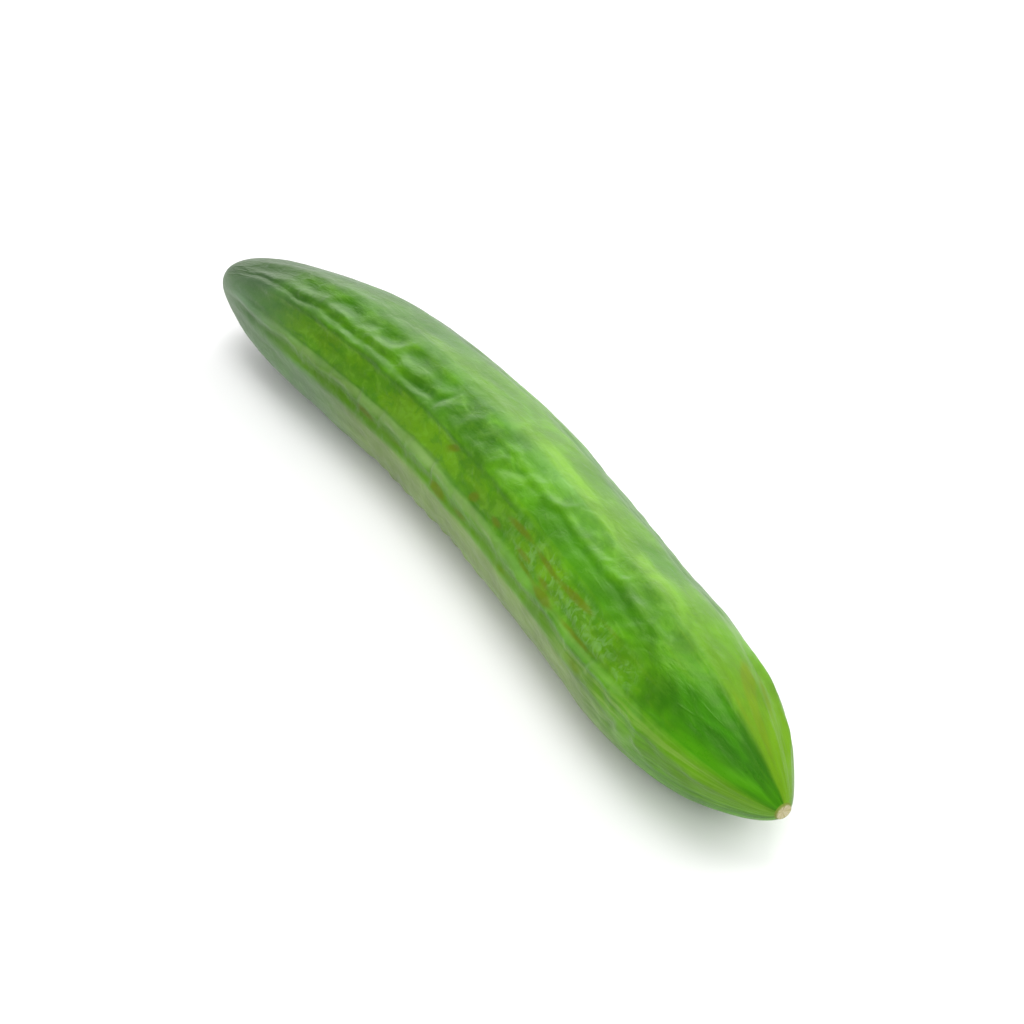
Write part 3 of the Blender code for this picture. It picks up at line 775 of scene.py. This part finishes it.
def upper_colour(g, rind, green):
    """The yellower upper side, with painted sheen where the relief leans to the light, painted shade in the
    grooves and painted sheen along the shoulder's crest.
    """
    u = rind.u
    middle = -24.0 - 2.0 * u.rise(0.34, 0.44) - 4.0 * u.rise(0.52, 0.62)
    top = g.mix(u.rise(0.33, 0.45), TOP_BLOSSOM, TOP_STEM)
    green = g.mix(0.65 * rind.band(middle, 28.0, 3.0, 0.7), green, top)
    # painted sheen where the relief leans to the light
    milky = rind.lean.rise(0.10, 0.70) * (1.0 - 0.50 * u.rise(0.40, 0.60)) * (1.0 - u.rise(0.84, 0.97))
    green = g.mix(0.55 * milky, green, WELT_MILKY)
    # painted shade, darker where the relief sinks into grooves
    green = g.mix(0.60 * (1.0 - rind.relief.rise(-0.7, 0.0)), green, GROOVE_DEEP)
    # painted sheen along the shoulder's crest, where the top turns toward the front
    border = rind.stretch(0.22, 0.66, 0.05) * rind.band(1.0, 4.0, 3.0, 1.0)
    return g.mix(0.35 * border, green, BORDER_HAZE)


def rows_colour(g, rind, green):
    """Painted sheen on the second row's rim, the specked olive hollow below it with painted shade along its
    edges, and the roped ridge with a painted highlight on its crest.
    """
    # painted sheen along the rim's crest
    rim = rind.stretch(0.12, 0.42, 0.04) * rind.band(33.5, 2.0, 2.0, 0.4)
    green = g.mix(0.40 * rim, green, RIM_PALE)
    olive = g.mix(rind.patches.rise(0.40, 0.58), HOLLOW_DARK, HOLLOW_LIGHT)
    green = g.mix(0.75 * rind.hollow, green, olive)
    dark, light = 1.0 - rind.specks.rise(0.36, 0.50), rind.specks.rise(0.53, 0.66)
    green = g.mix((0.18 + 0.27 * rind.hollow) * dark, green, SPECK_DARK)
    green = g.mix((0.12 + 0.20 * rind.hollow) * light, green, SPECK_LIGHT)
    # painted shade on the far side of the rim's crest and in the groove above the roped ridge
    edge = rind.stretch(0.13, 0.62, 0.05) * rind.band(38.5, 1.4, 1.6, 0.4)
    edge = edge + rind.stretch(0.16, 0.60, 0.04) * rind.band(60.5, 1.0, 1.6, 0.4)
    green = g.mix(0.50 * edge, green, HOLLOW_EDGE)
    # painted highlight on the roped ridge's crest, blotchy along it
    pale = rind.stretch(0.12, 0.64, 0.05) * rind.band(65.0, 3.5, 2.5, 0.5)
    green = g.mix(0.70 * pale * (0.55 + 0.45 * rind.patches.rise(0.36, 0.56)), green, ROPE_PALE)
    rope = rind.stretch(0.13, 0.84, 0.04) * rind.band(75.0, 5.5, 2.5, 0.4)
    return g.mix(0.88 * rope, green, ROPE_OLIVE)


def markings_colour(g, rind, green):
    """The plain strip in front, the broken stripe over the top, and the stains with their crinkles."""
    front = rind.stretch(0.60, 0.82, 0.06) * rind.band(25.0, 9.0, 4.0, 1.0)
    green = g.mix(0.65 * front, green, FRONT_DEEP)
    stripe = rind.stretch(0.32, 0.80, 0.04) * rind.band(-10.0, 4.5, 3.5, 1.0) * rind.broad.rise(0.30, 0.52)
    green = g.mix(0.42 * stripe * (0.4 + 0.6 * rind.clouds.rise(0.40, 0.58)), green, STRIPE_PALE)
    stained = g.mix(rind.u.rise(0.80, 0.88), STAIN_FLANK, STAIN_STEM)
    green = g.mix((0.85 - 0.15 * rind.u.rise(0.84, 0.90)) * rind.brown, green, stained)
    return g.mix(0.38 * rind.crinkles, green, CRINKLE_PALE)


def stem_colour(g, rind, green):
    """Toward the stem: yellow-green on top, a dark smooth facet in front, olive below it."""
    top = rind.u.rise(0.84, 0.95) * rind.band(-40.0, 38.0, 6.0, 1.0)
    green = g.mix(0.65 * top, green, STEM_TOP)
    green = g.mix(0.70 * rind.facet, green, g.mix(rind.clouds.rise(0.36, 0.60), FACET_DARK, FACET_LIGHT))
    side = rind.u.rise(0.84, 0.94) * rind.band(78.0, 18.0, 6.0, 1.0)
    return g.mix(0.55 * side, green, STEM_SIDE)


def belly_colour(g, rind, green):
    """Painted reflection of the pale floor low on the flank, paler and greyer there, and streaky on the
    stem half.
    """
    clouds, fibres = rind.clouds, rind.fibres
    # painted reflection of the pale floor, paler and greyer low on the flank
    low = rind.band(119.5, 38.0, 3.0, 0.4) * rind.stretch(0.14, 0.82, 0.08)
    green = g.mix(0.80 * low, green, g.mix(rind.u.rise(0.20, 0.36), BELLY_BLOSSOM, BELLY_STEM))
    streaky = rind.u.rise(0.62, 0.80) * rind.band(88.0, 24.0, 6.0)
    light = fibres.rise(0.50, 0.64) * clouds.rise(0.36, 0.56)
    dark = (1.0 - fibres.rise(0.36, 0.50)) * (1.0 - clouds.rise(0.50, 0.66))
    green = g.mix(0.45 * streaky * light, green, STREAK_LIGHT)
    return g.mix(0.40 * streaky * dark, green, STREAK_DARK)


def blossom_colour(g, rind, green):
    """The blossom half is darker, and its end dull and grey with a small scar: the grey is painted sheen,
    paler on the side as painted light bounced from the floor, and darker in the grooves as painted shade.
    """
    u = rind.u
    depth = 0.80 + 0.20 * u.rise(0.32, 0.46)
    green = g.scaled(green, depth * (0.88 + 0.24 * rind.clouds.rise(0.30, 0.70)))
    # painted sheen, paler on the side as painted light from the floor
    tip = g.mix(rind.band(84.0, 44.0, 18.0), TIP_TOP, TIP_SIDE)
    # painted shade in the tip's grooves
    tip = g.mix((0.5 - 0.6 * rind.relief).clip(0.0, 0.6), tip, TIP_GROOVE)
    green = g.mix(0.90 * (1.0 - u.rise(0.06, 0.22)), green, tip)
    return g.mix(0.85 * (1.0 - u.rise(0.0015, 0.0035)), green, BLOSSOM_SCAR)


def cork_colour(g, rind):
    """The cut stem's face: pale cork with darker pores and a green-brown ring."""
    cork = g.mix(rind.mottle.rise(0.40, 0.62), CORK_DARK, CORK_LIGHT)
    cork = g.mix(0.7 * rind.pores.rise(0.46, 0.60), cork, CORK_PORE)
    return g.mix(1.0 - rind.scar.rise(0.05, 0.25), cork, CORK_RING)


def rind_gloss(rind):
    """Roughness: waxy, smoother on the facet, duller on stains and matt on the cut."""
    rough = 0.39 + 0.16 * (rind.mottle - 0.5) + 0.10 * (rind.pores - 0.5)
    rough = rough - 0.10 * rind.facet + 0.15 * rind.brown
    rough = rough + (0.8 - rough) * rind.on_scar
    return rough.clip(0.15, 0.95)


def rind_bumps(rind):
    """Height of the finest unevenness, which the facet has little of."""
    skin = (rind.fine + 0.25 * rind.pores) * (1.0 - 0.6 * rind.facet)
    lines = 0.7 * (1.0 - rind.facet) * rind.plain * rind.fibres
    return skin + 0.5 * rind.crinkles + 0.30 * rind.wrinkles + lines


def skin_material():
    """Waxy rind: deep green with painted sheen on the welts and painted shade in the grooves, olive on the
    lower flank, corky at the cut.
    """
    material = bpy.data.materials.new("cucumber skin")
    material.use_nodes = True
    tree = material.node_tree
    surface = tree.nodes["Principled BSDF"]
    g = Graph(tree)
    rind = Rind(g)
    green = ground_colour(g, rind)
    for layer in (upper_colour, rows_colour, markings_colour, stem_colour, belly_colour, blossom_colour):
        green = layer(g, rind, green)
    g.put(surface.inputs["Base Color"], g.mix(rind.on_scar, green, cork_colour(g, rind)))
    g.put(surface.inputs["Roughness"], rind_gloss(rind))
    surface.inputs["IOR"].default_value = RIND_IOR
    surface.inputs["Specular Tint"].default_value = RIND_SHEEN_TINT
    bump = {"Height": rind_bumps(rind), "Strength": BUMP_STRENGTH, "Distance": BUMP_DISTANCE}
    g.put(surface.inputs["Normal"], g.wire("ShaderNodeBump", None, bump))
    return material


def floor_material():
    """Plain pale matt."""
    material = bpy.data.materials.new("floor")
    material.use_nodes = True
    surface = material.node_tree.nodes["Principled BSDF"]
    surface.inputs["Base Color"].default_value = (0.9, 0.9, 0.9, 1.0)
    surface.inputs["Roughness"].default_value = 0.9
    surface.inputs["Specular IOR Level"].default_value = 0.1
    return material


def make_floor():
    """A wide plain sheet that the fruit rests on."""
    mesh = bpy.data.meshes.new("floor")
    corners = [(x * FLOOR_HALF, y * FLOOR_HALF, 0) for x, y in ((-1, -1), (1, -1), (1, 1), (-1, 1))]
    mesh.from_pydata(corners, [], [(0, 1, 2, 3)])
    mesh.materials.append(floor_material())
    floor = bpy.data.objects.new("floor", mesh)
    bpy.context.scene.collection.objects.link(floor)
    return floor


def panel(name, turn, raised, wide, tall, brightness, matt, mirrored):
    """A soft panel light round the fruit: degrees from straight ahead toward the view's right, and up."""
    ahead, right = math.radians(VIEW_TURN + 90), math.radians(VIEW_TURN)
    turn, raised = math.radians(turn), math.radians(raised)
    flat = Vector((math.cos(ahead), math.sin(ahead), 0)) * math.cos(turn)
    flat += Vector((math.cos(right), math.sin(right), 0)) * math.sin(turn)
    way = flat * math.cos(raised) + Vector((0, 0, math.sin(raised)))
    light = bpy.data.lights.new(name, "AREA")
    light.shape = "RECTANGLE"
    light.size, light.size_y = wide, tall
    light.energy = brightness * math.pi * wide * tall
    lamp = bpy.data.objects.new(name, light)
    lamp.location = way * PANEL_DISTANCE
    lamp.rotation_euler = way.to_track_quat("Z", "Y").to_euler()
    lamp.visible_diffuse = matt
    lamp.visible_glossy = mirrored
    bpy.context.scene.collection.objects.link(lamp)


def make_view():
    """The camera, which looks down on the fruit from its stem end's side."""
    turn, raised = math.radians(VIEW_TURN), math.radians(VIEW_RAISE)
    back = Vector((math.sin(turn) * math.cos(raised), -math.cos(turn) * math.cos(raised), math.sin(raised)))
    lens = bpy.data.cameras.new("view")
    lens.sensor_width = SENSOR
    lens.lens = SENSOR / 2 / math.tan(HALF_VIEW)
    eye = bpy.data.objects.new("view", lens)
    eye.location = VIEW_TARGET + back * VIEW_DISTANCE
    eye.rotation_euler = back.to_track_quat("Z", "Y").to_euler()
    bpy.context.scene.collection.objects.link(eye)
    bpy.context.scene.camera = eye


def make_light():
    """The panels and an even white room."""
    for row in PANELS:
        panel(*row)
    world = bpy.data.worlds.new("studio")
    bpy.context.scene.world = world
    world.use_nodes = True
    backdrop = world.node_tree.nodes["Background"]
    backdrop.inputs["Color"].default_value = (1.0, 1.0, 1.0, 1.0)
    backdrop.inputs["Strength"].default_value = ROOM_LIGHT
    bpy.context.scene.view_settings.view_transform = "Standard"


cucumber = grown(
    sweep_tree(),
    "cucumber_fruit",
    {
        "Rings": RINGS,
        "Columns": COLUMNS + 1,
        "Fold height": 1.0,
        "Crinkle height": CRINKLE_HEIGHT,
        "Skin": skin_material(),
    },
)
set_in_frame(cucumber, "cucumber")
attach(cucumber, "root")
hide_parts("cucumber")
make_floor()
make_view()
make_light()
